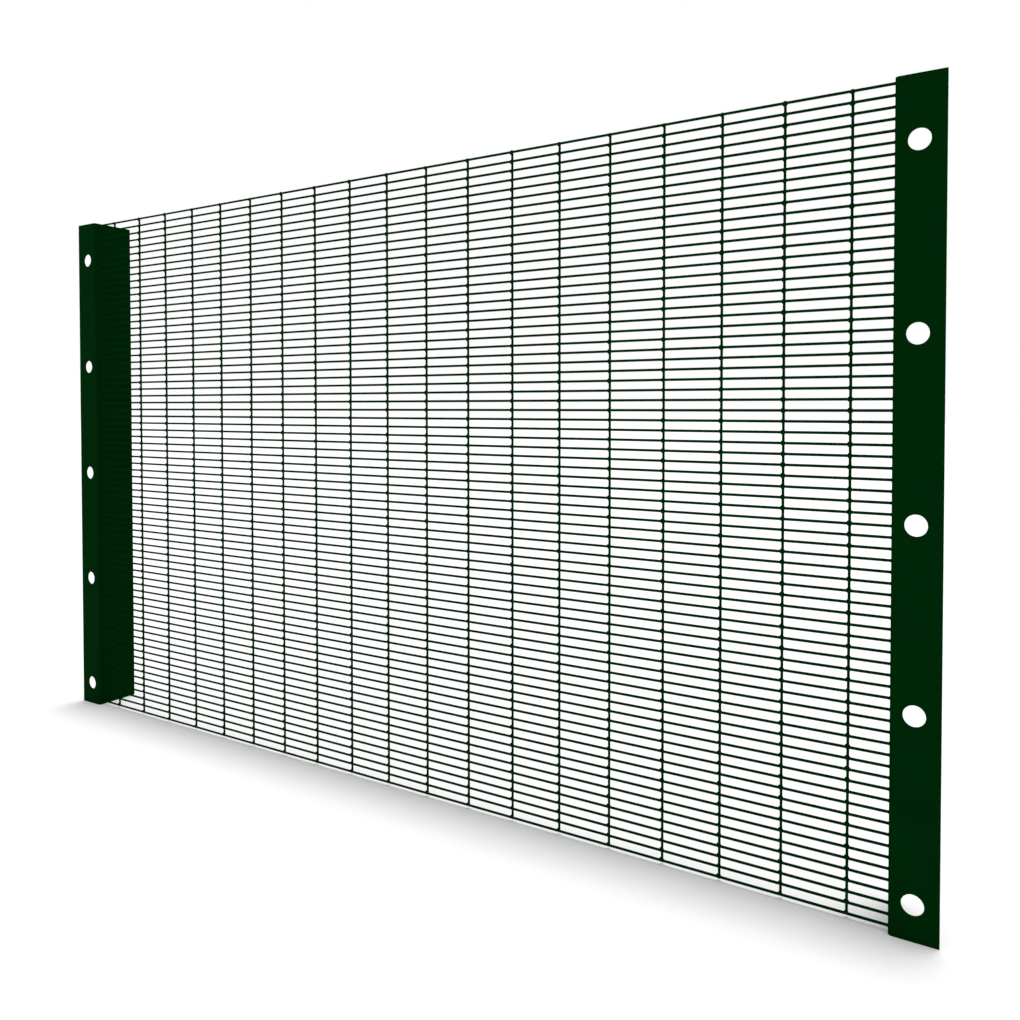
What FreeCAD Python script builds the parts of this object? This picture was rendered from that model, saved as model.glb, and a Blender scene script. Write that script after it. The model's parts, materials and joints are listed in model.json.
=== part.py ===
"""Anti-climb welded mesh fence panel with a folded and drilled flange at each end.

Millimetres. X runs along the panel from the left flange to the right one, Z is up, and the back of the
panel faces +Y. The origin is on the back of the left flange's hole strip, the face that bolts to a post,
on the line of the bolt holes and midway between the second and third hole from the foot.
"""
import FreeCAD, Part
import math
import os

# Mesh: line wires stand upright, and cross wires lie along the panel on the front of them.
line_wire_diameter = 3.25
line_wire_pitch = 76.2
line_wire_count = 19
cross_wire_diameter = 3.25
cross_wire_pitch = 12.7
cross_wire_count = 74
# Bare end of a cross wire, from the centre of the outermost line wire to the flange.
cross_wire_end = 46.1
# Cross wires are grouped in this many bands, from the foot to the head.
band_count = 10

# Flange: one folded sheet. The strip bolts to a post, and the cross wires are welded to the web.
sheet_thickness = 3.0
bend_inner_radius = 1.5
strip_width = 53.2
# Depth of the web, from the front of the strip to the web's free edge.
web_depth = 71.5
# How far the flange runs past the outermost cross wires.
foot_overrun = 4.5
head_overrun = 2.6
# From the front of the strip back to the middle of the cross wires.
wire_depth = 8.8

# Bolt holes in the strip.
hole_diameter = 24.0
hole_count = 5
# From the web's face, on the mesh's side, out to the line of the holes.
hole_to_web = 25.6
foot_hole_height = 40.2
head_hole_drop = 70.2

# Sizes and places that follow from the driving dimensions.
mesh_length = 2 * cross_wire_end + (line_wire_count - 1) * line_wire_pitch
mesh_height = (cross_wire_count - 1) * cross_wire_pitch + cross_wire_diameter
flange_height = mesh_height + foot_overrun + head_overrun
hole_pitch = (flange_height - foot_hole_height - head_hole_drop) / (hole_count - 1)
bend_outer_radius = bend_inner_radius + sheet_thickness

left_web_x = hole_to_web
right_web_x = left_web_x + mesh_length
strip_front_y = -sheet_thickness
cross_wire_y = strip_front_y + wire_depth
line_wire_y = cross_wire_y + (cross_wire_diameter + line_wire_diameter) / 2
foot_z = -foot_hole_height - 1.5 * hole_pitch
mesh_foot_z = foot_z + foot_overrun

LEFT = -1
RIGHT = 1


def octagon_corners(across_flats):
    """Corners of an octagon that has flats square to both axes."""
    flat = across_flats / 2
    half_side = flat * math.tan(math.pi / 8)
    quarter = [(flat, -half_side), (flat, half_side), (half_side, flat), (-half_side, flat)]
    return quarter + [(-a, -b) for a, b in quarter]


def bar(corners, direction):
    """Straight bar from its section's corners, which are in order round the section."""
    outline = Part.makePolygon(corners + corners[:1])
    return Part.Face(outline).extrude(direction)


def line_wire(index):
    """One upright wire, counted from the left flange. Its ends are flush with the outermost cross wires."""
    x = left_web_x + cross_wire_end + index * line_wire_pitch
    corners = [FreeCAD.Vector(x + a, line_wire_y + b, mesh_foot_z)
               for a, b in octagon_corners(line_wire_diameter)]
    return bar(corners, FreeCAD.Vector(0, 0, mesh_height))


def cross_wire(row):
    """One wire along the panel, counted from the foot. It touches every line wire and ends on both webs."""
    z = mesh_foot_z + cross_wire_diameter / 2 + row * cross_wire_pitch
    corners = [FreeCAD.Vector(left_web_x, cross_wire_y + a, z + b)
               for a, b in octagon_corners(cross_wire_diameter)]
    return bar(corners, FreeCAD.Vector(mesh_length, 0, 0))


def cross_wire_band(band):
    """Neighbouring cross wires of one band, as solids side by side."""
    first = band * cross_wire_count // band_count
    after_last = (band + 1) * cross_wire_count // band_count
    return Part.makeCompound([cross_wire(row) for row in range(first, after_last)])


def angle_section(web_x, side):
    """Section of the folded sheet, on the side of the mesh that the flange closes."""

    def point(outward, y):
        return FreeCAD.Vector(web_x + side * outward, y, foot_z)

    def bend(radius, start, end):
        reach = radius * math.sqrt(0.5)
        middle = point(bend_outer_radius - reach, bend_inner_radius - reach)
        return Part.Arc(start, middle, end).toShape()

    web_edge_y = strip_front_y + web_depth
    web_front_start = point(0, bend_inner_radius)
    web_front_edge = point(0, web_edge_y)
    web_back_edge = point(sheet_thickness, web_edge_y)
    web_back_start = point(sheet_thickness, bend_inner_radius)
    strip_back_start = point(bend_outer_radius, 0)
    strip_back_edge = point(strip_width, 0)
    strip_front_edge = point(strip_width, strip_front_y)
    strip_front_start = point(bend_outer_radius, strip_front_y)
    return Part.Face(Part.Wire([
        Part.makeLine(web_front_start, web_front_edge),
        Part.makeLine(web_front_edge, web_back_edge),
        Part.makeLine(web_back_edge, web_back_start),
        bend(bend_inner_radius, web_back_start, strip_back_start),
        Part.makeLine(strip_back_start, strip_back_edge),
        Part.makeLine(strip_back_edge, strip_front_edge),
        Part.makeLine(strip_front_edge, strip_front_start),
        bend(bend_outer_radius, strip_front_start, web_front_start),
    ]))


def bolt_hole(x, number):
    """Drill for one bolt hole, counted from the foot."""
    start = FreeCAD.Vector(x, strip_front_y, foot_z + foot_hole_height + number * hole_pitch)
    return Part.makeCylinder(hole_diameter / 2, sheet_thickness, start, FreeCAD.Vector(0, 1, 0))


def flange(web_x, side):
    """Folded angle with its row of bolt holes."""
    angle = angle_section(web_x, side).extrude(FreeCAD.Vector(0, 0, flange_height))
    hole_x = web_x + side * hole_to_web
    return angle.cut([bolt_hole(hole_x, number) for number in range(hole_count)])


def panel_pieces():
    """Every piece of the panel under its node's name."""
    pieces = {
        "left_flange": flange(left_web_x, LEFT),
        "right_flange": flange(right_web_x, RIGHT),
    }
    for index in range(line_wire_count):
        pieces[f"line_wire_{index + 1:02d}"] = line_wire(index)
    for band in range(band_count):
        pieces[f"cross_wires_{band + 1:02d}"] = cross_wire_band(band)
    return pieces


os.makedirs("parts", exist_ok=True)
for name, shape in panel_pieces().items():
    shape.exportStep(f"parts/{name}.step")
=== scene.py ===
"""Looks of an anti-climb welded mesh fence panel: round wires, their welds, and a folded flange at each end.

Metres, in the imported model's frame: X runs along the panel, +Y is its back, and Z is up.
"""
import bmesh
import bpy
import json
import math
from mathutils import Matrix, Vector


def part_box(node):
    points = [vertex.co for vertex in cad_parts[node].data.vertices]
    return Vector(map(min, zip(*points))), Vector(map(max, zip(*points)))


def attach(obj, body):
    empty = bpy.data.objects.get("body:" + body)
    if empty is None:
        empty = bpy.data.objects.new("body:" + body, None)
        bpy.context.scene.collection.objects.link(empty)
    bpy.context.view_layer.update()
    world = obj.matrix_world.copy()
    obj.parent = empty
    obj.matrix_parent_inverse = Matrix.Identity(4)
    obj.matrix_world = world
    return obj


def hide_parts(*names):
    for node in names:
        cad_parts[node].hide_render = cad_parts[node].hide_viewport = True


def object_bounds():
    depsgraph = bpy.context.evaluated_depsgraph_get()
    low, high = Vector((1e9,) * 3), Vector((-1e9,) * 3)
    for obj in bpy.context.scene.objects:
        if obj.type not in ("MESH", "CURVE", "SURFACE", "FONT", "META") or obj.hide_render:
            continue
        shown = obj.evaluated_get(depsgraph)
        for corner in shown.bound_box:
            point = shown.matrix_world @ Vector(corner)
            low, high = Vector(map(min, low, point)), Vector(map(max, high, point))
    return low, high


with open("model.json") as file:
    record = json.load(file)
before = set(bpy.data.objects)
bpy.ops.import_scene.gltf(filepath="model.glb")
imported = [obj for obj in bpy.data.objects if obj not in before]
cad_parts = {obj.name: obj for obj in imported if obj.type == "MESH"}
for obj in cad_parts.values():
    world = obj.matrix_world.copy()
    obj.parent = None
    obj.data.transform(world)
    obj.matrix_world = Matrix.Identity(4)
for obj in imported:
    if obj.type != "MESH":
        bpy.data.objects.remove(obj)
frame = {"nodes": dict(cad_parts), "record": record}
cad_low, cad_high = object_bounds()

MM = 0.001
QUARTER_TURN = math.pi / 2
BODY = "root"

# Wires. The frame gives their places and thickness.
CROSS_WIRE_PITCH = 12.7 * MM
WIRE_SIDES = 20
WIRE_END_CHAMFER = 0.4 * MM

# Resistance weld where two wires cross: a flattened bead of squeezed metal and coat round their contact.
SPOT_RADIUS = 3.2 * MM
SPOT_HALF_THICKNESS = 1.6 * MM
SPOT_SEGMENTS = 14
SPOT_RINGS = 4
SPOT_SPREAD = 0.12
SPOT_SEED = 3

# Fillet weld where a cross wire meets a flange. Its neck is slightly wider than the wire.
END_WELD_FOOT_RADIUS = 2.6 * MM
END_WELD_NECK_MARGIN = 0.045 * MM
END_WELD_LENGTH = 2.2 * MM
END_WELD_SINK = 0.6 * MM
END_WELD_SIDES = 14
END_WELD_SPREAD = 0.14
END_WELD_SEED = 8

# Flange: a folded sheet with round holes and rounded cut edges.
BEND_INNER_RADIUS = 1.5 * MM
BEND_STEPS = 12
HOLE_SIDE_STEPS = 16
EDGE_ROUNDING = 0.45 * MM
EDGE_ROUNDING_STEPS = 2
ROUND_PROFILE = 0.5

# Where faces meet at more than this angle, shading creases, and the edge of a sheet counts as cut.
CREASE_ANGLE = math.radians(40)
# Large faces lead the weighted normals, for which 50 is neutral.
LARGE_FACE_WEIGHT = 100

# Powder coat. The film is a little darker where it lies thick, and palest where it draws thin on a cut edge.
COAT_THICK_FILM = "#002408"
COAT_USUAL_FILM = "#012D09"
COAT_CUT_EDGE = "#0B4A20"
COAT_CUT_EDGE_SHARE = 0.5
THIN_COAT = "thin_coat"
FILM_CLOUD_WIDTH = 90 * MM
FILM_CLOUD_DETAIL = 4.0
FILM_CLOUD_ROUGHNESS = 0.55
PEEL_WAVE = 3 * MM
PEEL_DEPTH = 0.12 * MM
PEEL_STRENGTH = 0.35
SATIN_LEAST_ROUGHNESS = 0.42
SATIN_MOST_ROUGHNESS = 0.54
POLYESTER_IOR = 1.5
COAT_GLEAM = 0.0015

# Camera, from the photograph's vanishing points and the mesh's pitch.
PHOTO_PIXELS = 1020
PHOTO_FOCAL_PIXELS = 840.2
PHOTO_CENTRE_COLUMN = 580.0
PHOTO_CENTRE_ROW = 427.5
SENSOR_WIDTH_MM = 36.0
CAMERA_PLACE = Vector((1.6408, -0.9654, 0.2280))
CAMERA_PAN = math.radians(29.30)
CAMERA_TILT = math.radians(-1.223)
CAMERA_ROLL = math.radians(0.067)

# Studio: a white surround, and one lamp overhead, a little behind the panel. Its width softens the shadow.
FLOOR_HALF_WIDTH = 40.0
FLOOR_COLOUR = "#E7E7E7"
FLOOR_LIFT = 0.05
SURROUND_COLOUR = "#FFFFFF"
SURROUND_LIGHT = 0.63
LAMP_STRENGTH = 2.3
LAMP_WIDTH = math.radians(8.6)
LAMP_BEHIND = math.radians(1.9)
LAMP_FROM_RIGHT = math.radians(1)


def linear(hex_colour):
    """Linear colour, with alpha, of an sRGB hex value."""
    channels = [int(hex_colour[i:i + 2], 16) / 255 for i in (1, 3, 5)]
    return [c / 12.92 if c <= 0.04045 else ((c + 0.055) / 1.055) ** 2.4 for c in channels] + [1.0]


def blank_tree(owner):
    """Empty node tree of a material or a world."""
    owner.use_nodes = True
    owner.node_tree.nodes.clear()
    return owner.node_tree


def add_node(tree, kind, inputs=None, **settings):
    """One node of a tree, with its settings.

    Each input is a value, another node's output, or a node that gives its first output.
    """
    node = tree.nodes.new(kind)
    for name, value in settings.items():
        setattr(node, name, value)
    for name, value in (inputs or {}).items():
        if isinstance(value, bpy.types.Node):
            value = value.outputs[0]
        if isinstance(value, bpy.types.NodeSocket):
            tree.links.new(value, node.inputs[name])
        else:
            node.inputs[name].default_value = value
    return node


def powder_coat():
    """Dark green polyester powder coat on galvanised steel, sprayed and baked.

    The powder melts and flows into a satin skin with a faint orange peel. The eye sees a deep, even green
    that gleams only where it is seen edge-on, and a slightly paler line where the coat draws thin.
    """
    coat = bpy.data.materials.new("powder_coated_galvanised_steel")
    tree = blank_tree(coat)
    place = add_node(tree, "ShaderNodeTexCoord").outputs["Object"]

    # The film's thickness differs in clouds.
    film = add_node(tree, "ShaderNodeTexNoise", {
        "Vector": place, "Scale": 1 / FILM_CLOUD_WIDTH, "Detail": FILM_CLOUD_DETAIL,
        "Roughness": FILM_CLOUD_ROUGHNESS})
    shade = add_node(tree, "ShaderNodeMix", {"Factor": film, 6: linear(COAT_THICK_FILM),
                                             7: linear(COAT_USUAL_FILM)}, data_type="RGBA")
    satin = add_node(tree, "ShaderNodeMapRange", {"Value": film, "To Min": SATIN_LEAST_ROUGHNESS,
                                                  "To Max": SATIN_MOST_ROUGHNESS})

    edge = add_node(tree, "ShaderNodeAttribute", attribute_name=THIN_COAT).outputs["Fac"]
    thin = add_node(tree, "ShaderNodeMath", {0: edge, 1: COAT_CUT_EDGE_SHARE}, operation="MULTIPLY")
    colour = add_node(tree, "ShaderNodeMix", {"Factor": thin, 6: shade.outputs[2],
                                              7: linear(COAT_CUT_EDGE)}, data_type="RGBA")

    # Orange peel is about 1.5 mm from crest to crest; it is drawn at twice that so that it shows.
    peel = add_node(tree, "ShaderNodeTexNoise", {"Vector": place, "Scale": 1 / PEEL_WAVE})
    relief = add_node(tree, "ShaderNodeBump", {"Height": peel, "Strength": PEEL_STRENGTH,
                                               "Distance": PEEL_DEPTH})
    skin = add_node(tree, "ShaderNodeBsdfPrincipled", {
        "Base Color": colour.outputs[2], "Roughness": satin, "Normal": relief, "IOR": POLYESTER_IOR,
        "Specular IOR Level": COAT_GLEAM})
    add_node(tree, "ShaderNodeOutputMaterial", {"Surface": skin})
    return coat


def seen_directly(tree):
    """Node that gives 1 where the eye sees a surface directly, in a reflection or through glass."""
    path = add_node(tree, "ShaderNodeLightPath").outputs
    seen = add_node(tree, "ShaderNodeMath", {0: path["Is Camera Ray"], 1: path["Is Glossy Ray"]},
                    operation="MAXIMUM")
    return add_node(tree, "ShaderNodeMath", {0: seen, 1: path["Is Transmission Ray"]}, operation="MAXIMUM")


def floor_paint():
    """Matt white studio floor, rolled on: even, with no gleam. It takes the shadow and looks white."""
    paint = bpy.data.materials.new("matt_white_floor")
    tree = blank_tree(paint)
    matt = add_node(tree, "ShaderNodeBsdfDiffuse", {"Color": linear(FLOOR_COLOUR)})
    lift = add_node(tree, "ShaderNodeMath", {0: seen_directly(tree), 1: FLOOR_LIFT}, operation="MULTIPLY")
    glow = add_node(tree, "ShaderNodeEmission", {"Strength": lift})
    lifted = add_node(tree, "ShaderNodeAddShader", {0: matt, 1: glow})
    add_node(tree, "ShaderNodeOutputMaterial", {"Surface": lifted})
    return paint


def new_object(name, data):
    """Object at the origin that holds a mesh, a lamp or a camera."""
    made = bpy.data.objects.new(name, data)
    bpy.context.scene.collection.objects.link(made)
    return made


def plain_mesh(holder):
    """Gives an object its modifiers' result as a plain mesh."""
    evaluated = holder.evaluated_get(bpy.context.evaluated_depsgraph_get())
    result = bpy.data.meshes.new_from_object(evaluated)
    holder.modifiers.clear()
    holder.data = result


def add_to_panel(piece, *nodes):
    """Makes a finished piece part of the panel, in place of these CAD nodes."""
    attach(piece, BODY)
    if nodes:
        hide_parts(*nodes)


def geometry_tree(name, inputs):
    """Empty tree with named inputs, and the sockets that give their values inside it."""
    tree = bpy.data.node_groups.new(name, "GeometryNodeTree")
    for label, kind in inputs.items():
        tree.interface.new_socket(label, in_out="INPUT", socket_type=f"NodeSocket{kind}")
    tree.interface.new_socket("Geometry", in_out="OUTPUT", socket_type="NodeSocketGeometry")
    return tree, tree.nodes.new("NodeGroupInput").outputs


def close_tree(tree, instances, material):
    """Ends a tree: its instances become real geometry with a material."""
    real = add_node(tree, "GeometryNodeRealizeInstances", {"Geometry": instances})
    painted = add_node(tree, "GeometryNodeSetMaterial", {"Geometry": real, "Material": material})
    add_node(tree, "NodeGroupOutput", {"Geometry": painted})


def grown_piece(name, tree, values):
    """Piece that a tree makes from these values of its inputs."""
    piece = new_object(name, bpy.data.meshes.new(name))
    modifier = piece.modifiers.new("grow", "NODES")
    modifier.node_group = tree
    for item in tree.interface.items_tree:
        if item.in_out == "INPUT":
            modifier[item.identifier] = values[item.name]
    plain_mesh(piece)
    return piece


def wire_layer_tree():
    """Straight round wires side by side, each with a small chamfer at its sheared ends."""
    tree, given = geometry_tree("wire_layer", {
        "First": "Vector", "Step": "Vector", "Count": "Int", "Along": "Vector", "Length": "Float",
        "Radius": "Float", "Chamfer": "Float", "Sides": "Int", "Coat": "Material"})

    # Four points on the axis: both ends, and where each end's chamfer begins.
    last_point = 3
    points = add_node(tree, "GeometryNodeMeshLine", {"Count": last_point + 1, "Offset": (0.0, 0.0, 1.0)})
    axis = add_node(tree, "GeometryNodeMeshToCurve", {"Mesh": points})
    number = add_node(tree, "GeometryNodeInputIndex")
    from_end = add_node(tree, "ShaderNodeMath", {0: last_point, 1: number}, operation="SUBTRACT")
    nearest = add_node(tree, "ShaderNodeMath", {0: number, 1: from_end}, operation="MINIMUM")
    inset = add_node(tree, "ShaderNodeMath", {0: nearest, 1: given["Chamfer"]}, operation="MULTIPLY")
    far_inset = add_node(tree, "ShaderNodeMath", {0: given["Length"], 1: inset}, operation="SUBTRACT")
    in_far_half = add_node(tree, "ShaderNodeMath", {0: number, 1: last_point / 2}, operation="GREATER_THAN")
    reach = add_node(tree, "ShaderNodeMix", {"Factor": in_far_half, 2: inset, 3: far_inset})
    place = add_node(tree, "ShaderNodeVectorMath", {0: given["Along"], "Scale": reach}, operation="SCALE")
    placed = add_node(tree, "GeometryNodeSetPosition", {"Geometry": axis, "Position": place})

    # The end faces are narrower than the wire by the chamfer.
    end_radius = add_node(tree, "ShaderNodeMath", {0: given["Radius"], 1: given["Chamfer"]},
                          operation="SUBTRACT")
    radius = add_node(tree, "ShaderNodeMix", {"Factor": nearest, 2: end_radius, 3: given["Radius"]})
    section = add_node(tree, "GeometryNodeCurvePrimitiveCircle", {"Resolution": given["Sides"],
                                                                  "Radius": 1.0})
    wire = add_node(tree, "GeometryNodeCurveToMesh", {"Curve": placed, "Profile Curve": section,
                                                      "Scale": radius, "Fill Caps": True})
    row = add_node(tree, "GeometryNodeMeshLine", {"Count": given["Count"], "Start Location": given["First"],
                                                  "Offset": given["Step"]})
    wires = add_node(tree, "GeometryNodeInstanceOnPoints", {"Points": row, "Instance": wire})
    close_tree(tree, wires, given["Coat"])
    return tree


def weld_spot_tree():
    """One flattened bead at every crossing of the two wire layers, each of a slightly different size."""
    tree, given = geometry_tree("weld_spots", {
        "Middle": "Vector", "Width": "Float", "Height": "Float", "Columns": "Int", "Rows": "Int",
        "Radius": "Float", "Half thickness": "Float", "Spread": "Float", "Seed": "Int", "Coat": "Material"})
    upright = (QUARTER_TURN, 0.0, 0.0)
    grid = add_node(tree, "GeometryNodeMeshGrid", {
        "Size X": given["Width"], "Size Y": given["Height"], "Vertices X": given["Columns"],
        "Vertices Y": given["Rows"]})
    crossings = add_node(tree, "GeometryNodeTransform", {"Geometry": grid, "Translation": given["Middle"],
                                                         "Rotation": upright})
    ball = add_node(tree, "GeometryNodeMeshUVSphere", {"Segments": SPOT_SEGMENTS, "Rings": SPOT_RINGS,
                                                       "Radius": 1.0})
    girth = add_node(tree, "ShaderNodeCombineXYZ", {"X": given["Radius"], "Y": given["Radius"],
                                                    "Z": given["Half thickness"]})
    bead = add_node(tree, "GeometryNodeTransform", {"Geometry": ball, "Scale": girth})
    smooth = add_node(tree, "GeometryNodeSetShadeSmooth", {"Geometry": bead})
    least = add_node(tree, "ShaderNodeMath", {0: 1.0, 1: given["Spread"]}, operation="SUBTRACT")
    most = add_node(tree, "ShaderNodeMath", {0: 1.0, 1: given["Spread"]}, operation="ADD")
    size = add_node(tree, "FunctionNodeRandomValue", {2: least, 3: most, "Seed": given["Seed"]})
    spots = add_node(tree, "GeometryNodeInstanceOnPoints", {
        "Points": crossings, "Instance": smooth, "Rotation": upright, "Scale": size.outputs[1]})
    close_tree(tree, spots, given["Coat"])
    return tree


def end_weld_tree():
    """Fillets in a row up a flange, one round the end of each cross wire, slightly different in length."""
    tree, given = geometry_tree("end_welds", {
        "First": "Vector", "Step": "Vector", "Count": "Int", "Turn": "Rotation", "Foot radius": "Float",
        "Neck radius": "Float", "Length": "Float", "Spread": "Float", "Seed": "Int", "Coat": "Material"})
    cone = add_node(tree, "GeometryNodeMeshCone", {
        "Vertices": END_WELD_SIDES, "Radius Top": given["Neck radius"],
        "Radius Bottom": given["Foot radius"], "Depth": given["Length"]})
    smooth = add_node(tree, "GeometryNodeSetShadeSmooth", {"Geometry": cone,
                                                           "Selection": cone.outputs["Side"]})
    row = add_node(tree, "GeometryNodeMeshLine", {"Count": given["Count"], "Start Location": given["First"],
                                                  "Offset": given["Step"]})
    most = add_node(tree, "ShaderNodeMath", {0: 1.0, 1: given["Spread"]}, operation="ADD")
    length = add_node(tree, "FunctionNodeRandomValue", {2: 1.0, 3: most, "Seed": given["Seed"]})
    size = add_node(tree, "ShaderNodeCombineXYZ", {"X": 1.0, "Y": 1.0, "Z": length.outputs[1]})
    welds = add_node(tree, "GeometryNodeInstanceOnPoints", {
        "Points": row, "Instance": smooth, "Rotation": given["Turn"], "Scale": size})
    close_tree(tree, welds, given["Coat"])
    return tree


def bolt_holes():
    """Bolt holes of both flanges as (x, z, radius), from the foot up, from the record."""
    holes = set()
    for mount in frame["record"]["mounts"]:
        if mount["kind"] == "bolt_pattern":
            sizes = mount["dims"]
            half_x = sizes["spacing_x_mm"] * MM / 2
            half_z = sizes.get("spacing_y_mm", 0.0) * MM / 2
            middle_x, _, middle_z = mount["pos_m"]
            holes |= {(middle_x + a, middle_z + b, sizes["hole_r_mm"] * MM)
                      for a in (-half_x, half_x) for b in (-half_z, half_z)}
    return sorted(holes, key=lambda hole: hole[1])


def flange_stations(strip_width, sheet, front_y, web_edge_y):
    """Places across the folded sheet, from the strip's free edge to the web's.

    Each is a point on the sheet's front and one on its back, as (distance out from the mesh, y).
    """
    bend_radius = sheet + BEND_INNER_RADIUS
    flat_width = strip_width - bend_radius
    stations = []
    for step in range(HOLE_SIDE_STEPS):
        distance = strip_width - flat_width * step / HOLE_SIDE_STEPS
        stations.append(((distance, front_y), (distance, front_y + sheet)))
    centre = Vector((bend_radius, front_y + bend_radius))
    for step in range(BEND_STEPS + 1):
        turn = QUARTER_TURN * step / BEND_STEPS
        across = Vector((-math.sin(turn), -math.cos(turn)))
        stations.append((centre + across * bend_radius, centre + across * BEND_INNER_RADIUS))
    stations.append(((0.0, web_edge_y), (sheet, web_edge_y)))
    return stations


def cell_border(first_row):
    """Border of a hole's cell as (station, row): along its foot, the free edge, its head and the bend."""
    steps = range(HOLE_SIDE_STEPS)
    last_row = first_row + HOLE_SIDE_STEPS
    foot = [(HOLE_SIDE_STEPS - step, first_row) for step in steps]
    free_edge = [(0, first_row + step) for step in steps]
    head = [(step, last_row) for step in steps]
    bend = [(HOLE_SIDE_STEPS, last_row - step) for step in steps]
    return foot + free_edge + head + bend


def hole_rim(distance, z, radius, cell):
    """Points round a hole, as many towards each side of its cell. cell holds the cell's corners in turn."""
    rim = []
    for start, end in zip(cell, cell[1:] + cell[:1]):
        first_turn = math.atan2(start[1] - z, start[0] - distance)
        last_turn = math.atan2(end[1] - z, end[0] - distance)
        if last_turn < first_turn:
            last_turn += 2 * math.pi
        for step in range(HOLE_SIDE_STEPS):
            turn = first_turn + (last_turn - first_turn) * step / HOLE_SIDE_STEPS
            rim.append((distance + radius * math.cos(turn), z + radius * math.sin(turn)))
    return rim


def round_cut_edges(shell):
    """Rounds a sheet's cut edges, and marks the middle of each rounding, where the coat is thinnest."""
    cut_edges = [edge for edge in shell.edges if edge.calc_face_angle() > CREASE_ANGLE]
    rounding = bmesh.ops.bevel(shell, geom=cut_edges, offset=EDGE_ROUNDING, offset_type="OFFSET",
                               segments=EDGE_ROUNDING_STEPS, profile=ROUND_PROFILE, affect="EDGES",
                               clamp_overlap=True)
    rounded = set(rounding["faces"])
    thin_coat = shell.verts.layers.float.new(THIN_COAT)
    for vertex in shell.verts:
        vertex[thin_coat] = float(all(face in rounded for face in vertex.link_faces))


def folded_sheet(name, web_x, outward):
    """Closed shell of a flange: a strip with round bolt holes, a bend, and a web."""
    low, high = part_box(name)
    strip_width = high.x - low.x
    sheet = -low.y
    stations = flange_stations(strip_width, sheet, low.y, high.y)
    holes = [((x - web_x) * outward, z, radius) for x, z, radius in bolt_holes() if low.x < x < high.x]

    # Each hole sits in a square cell of the strip. Rows cross the sheet at its ends and at a cell's steps.
    bend_radius = sheet + BEND_INNER_RADIUS
    half_cell = (strip_width - bend_radius) / 2
    cell_rows = HOLE_SIDE_STEPS + 1
    rows = [low.z]
    for _, z, _ in holes:
        rows += [z - half_cell + 2 * half_cell * step / HOLE_SIDE_STEPS for step in range(cell_rows)]
    rows.append(high.z)

    shell = bmesh.new()
    corners = {}
    quads = []

    def both_sides(front, back, z):
        """Vertices of one place on the sheet: on its front, and on its back."""
        return tuple(shell.verts.new((web_x + outward * distance, y, z)) for distance, y in (front, back))

    def corner(station, row):
        """Both vertices where a row crosses a station, made once."""
        if (station, row) not in corners:
            corners[station, row] = both_sides(*stations[station], rows[row])
        return corners[station, row]

    for number, (distance, z, radius) in enumerate(holes):
        cell = [(bend_radius, z - half_cell), (strip_width, z - half_cell),
                (strip_width, z + half_cell), (bend_radius, z + half_cell)]
        border = [corner(station, row) for station, row in cell_border(1 + number * cell_rows)]
        rim = [both_sides((rim_distance, low.y), (rim_distance, low.y + sheet), rim_z)
               for rim_distance, rim_z in hole_rim(distance, z, radius, cell)]
        quads += zip(border, border[1:] + border[:1], rim[1:] + rim[:1], rim)
    for row in range(len(rows) - 1):
        beside_hole = row % cell_rows != 0
        for station in range(HOLE_SIDE_STEPS if beside_hole else 0, len(stations) - 1):
            quads.append((corner(station, row), corner(station, row + 1),
                          corner(station + 1, row + 1), corner(station + 1, row)))

    # Front and back faces, then the cut edges between them, wherever a front face has no neighbour.
    sides = [side for quad in quads for side in zip(quad, quad[1:] + quad[:1])]
    known_sides = set(sides)
    for quad in quads:
        shell.faces.new([front for front, _ in quad])
        shell.faces.new([back for _, back in reversed(quad)])
    for a, b in sides:
        if (b, a) not in known_sides:
            shell.faces.new([b[0], a[0], a[1], b[1]])
    bmesh.ops.recalc_face_normals(shell, faces=shell.faces)
    return shell


def flange(name, web_x, outward, coat):
    """Coated flange. web_x is its web's side towards the mesh, and outward is the strip's way along X."""
    shell = folded_sheet(name, web_x, outward)
    round_cut_edges(shell)
    mesh = bpy.data.meshes.new(name)
    shell.to_mesh(mesh)
    shell.free()
    mesh.materials.append(coat)
    mesh.shade_smooth()
    piece = new_object(f"{name}_sheet", mesh)
    weighted = piece.modifiers.new("flat faces stay flat", "WEIGHTED_NORMAL")
    weighted.weight = LARGE_FACE_WEIGHT
    plain_mesh(piece)
    return piece


def studio_floor():
    """Wide floor at the panel's foot."""
    shape = bmesh.new()
    bmesh.ops.create_grid(shape, x_segments=1, y_segments=1, size=FLOOR_HALF_WIDTH)
    bmesh.ops.translate(shape, verts=shape.verts, vec=(0.0, 0.0, cad_low.z))
    mesh = bpy.data.meshes.new("floor")
    shape.to_mesh(mesh)
    shape.free()
    mesh.materials.append(floor_paint())
    return new_object("floor", mesh)


def overhead_lamp():
    """Lamp that throws the panel's shadow on the floor in front of it."""
    lamp = bpy.data.lights.new("overhead_lamp", "SUN")
    lamp.energy = LAMP_STRENGTH
    lamp.angle = LAMP_WIDTH
    new_object("overhead_lamp", lamp).rotation_euler = (-LAMP_BEHIND, LAMP_FROM_RIGHT, 0.0)


def white_surround():
    """World that is white to the eye and in reflections, and lights the panel at a plain level."""
    surround = bpy.data.worlds.new("white_surround")
    tree = blank_tree(surround)
    level = add_node(tree, "ShaderNodeMapRange", {"Value": seen_directly(tree), "To Min": SURROUND_LIGHT,
                                                  "To Max": 1.0})
    white = add_node(tree, "ShaderNodeBackground", {"Color": linear(SURROUND_COLOUR), "Strength": level})
    add_node(tree, "ShaderNodeOutputWorld", {"Surface": white})
    bpy.context.scene.world = surround


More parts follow.
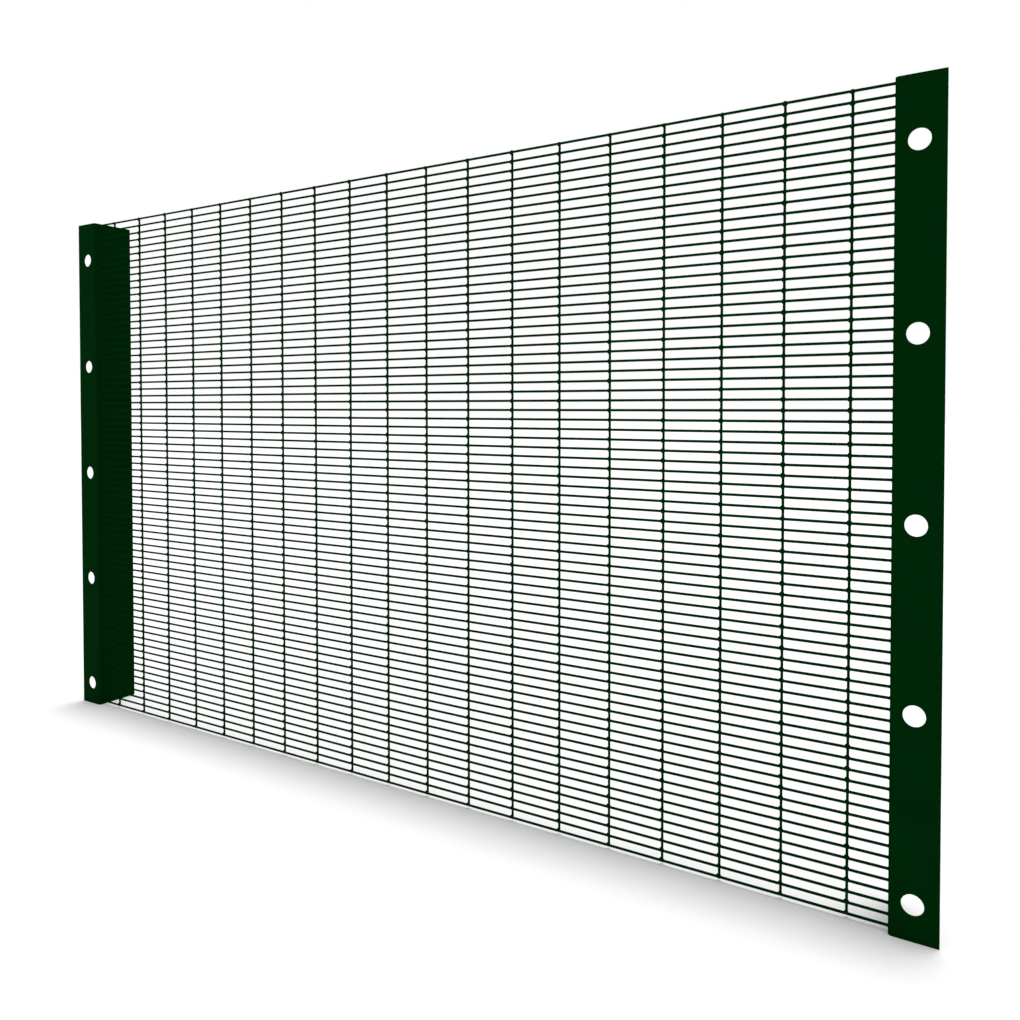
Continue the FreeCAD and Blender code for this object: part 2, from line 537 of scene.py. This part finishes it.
def photo_camera():
    """Camera at the photograph's viewpoint, with its frame shifted as the photograph's is."""
    camera = bpy.data.cameras.new("camera")
    camera.sensor_width = SENSOR_WIDTH_MM
    camera.lens = SENSOR_WIDTH_MM * PHOTO_FOCAL_PIXELS / PHOTO_PIXELS
    camera.shift_x = (PHOTO_PIXELS / 2 - PHOTO_CENTRE_COLUMN) / PHOTO_PIXELS
    camera.shift_y = (PHOTO_CENTRE_ROW - PHOTO_PIXELS / 2) / PHOTO_PIXELS
    holder = new_object("camera", camera)
    holder.location = CAMERA_PLACE
    holder.rotation_euler = (QUARTER_TURN + CAMERA_TILT, -CAMERA_ROLL, CAMERA_PAN)
    bpy.context.scene.camera = holder


coat = powder_coat()

# Places and sizes of both wire layers, from the frame.
line_nodes = sorted(name for name in frame["nodes"] if name.startswith("line_wire_"))
cross_nodes = sorted(name for name in frame["nodes"] if name.startswith("cross_wires_"))
first_line_low, first_line_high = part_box(line_nodes[0])
second_line_low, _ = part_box(line_nodes[1])
foot_band_low, foot_band_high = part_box(cross_nodes[0])
_, head_band_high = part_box(cross_nodes[-1])

line_radius = (first_line_high.x - first_line_low.x) / 2
line_step = second_line_low.x - first_line_low.x
line_span = line_step * (len(line_nodes) - 1)
line_first = Vector((first_line_low.x + line_radius, first_line_low.y + line_radius, first_line_low.z))
cross_radius = (foot_band_high.y - foot_band_low.y) / 2
cross_first = Vector((foot_band_low.x, foot_band_low.y + cross_radius, foot_band_low.z + cross_radius))
cross_rise = head_band_high.z - cross_radius - cross_first.z
cross_count = round(cross_rise / CROSS_WIRE_PITCH) + 1
cross_step = cross_rise / (cross_count - 1)

# Wires.
wire_layer = wire_layer_tree()
line_wires = grown_piece("line_wires", wire_layer, {
    "First": line_first, "Step": (line_step, 0.0, 0.0), "Count": len(line_nodes), "Along": (0.0, 0.0, 1.0),
    "Length": first_line_high.z - first_line_low.z, "Radius": line_radius, "Chamfer": WIRE_END_CHAMFER,
    "Sides": WIRE_SIDES, "Coat": coat})
cross_wires = grown_piece("cross_wires", wire_layer, {
    "First": cross_first, "Step": (0.0, 0.0, cross_step), "Count": cross_count, "Along": (1.0, 0.0, 0.0),
    "Length": foot_band_high.x - foot_band_low.x, "Radius": cross_radius, "Chamfer": WIRE_END_CHAMFER,
    "Sides": WIRE_SIDES, "Coat": coat})
for layer in (line_wires, cross_wires):
    layer.data.shade_smooth()
    layer.data.set_sharp_from_angle(angle=CREASE_ANGLE)
add_to_panel(line_wires, *line_nodes)
add_to_panel(cross_wires, *cross_nodes)

# Welds where the wires cross.
weld_spots = grown_piece("weld_spots", weld_spot_tree(), {
    "Middle": (line_first.x + line_span / 2, cross_first.y + cross_radius, cross_first.z + cross_rise / 2),
    "Width": line_span, "Height": cross_rise, "Columns": len(line_nodes), "Rows": cross_count,
    "Radius": SPOT_RADIUS, "Half thickness": SPOT_HALF_THICKNESS, "Spread": SPOT_SPREAD, "Seed": SPOT_SEED,
    "Coat": coat})
add_to_panel(weld_spots)

# Flanges, and the welds that hold the cross wires to them.
end_welds = end_weld_tree()
for side, web_x, inward in (("left", foot_band_low.x, 1), ("right", foot_band_high.x, -1)):
    add_to_panel(flange(f"{side}_flange", web_x, -inward, coat), f"{side}_flange")
    welds = grown_piece(f"{side}_end_welds", end_welds, {
        "First": (web_x - inward * END_WELD_SINK, cross_first.y, cross_first.z),
        "Step": (0.0, 0.0, cross_step), "Count": cross_count, "Turn": (0.0, inward * QUARTER_TURN, 0.0),
        "Foot radius": END_WELD_FOOT_RADIUS, "Neck radius": cross_radius + END_WELD_NECK_MARGIN,
        "Length": END_WELD_LENGTH, "Spread": END_WELD_SPREAD, "Seed": END_WELD_SEED, "Coat": coat})
    add_to_panel(welds)

floor = studio_floor()
overhead_lamp()
white_surround()
photo_camera()
bpy.context.scene.view_settings.view_transform = "Standard"
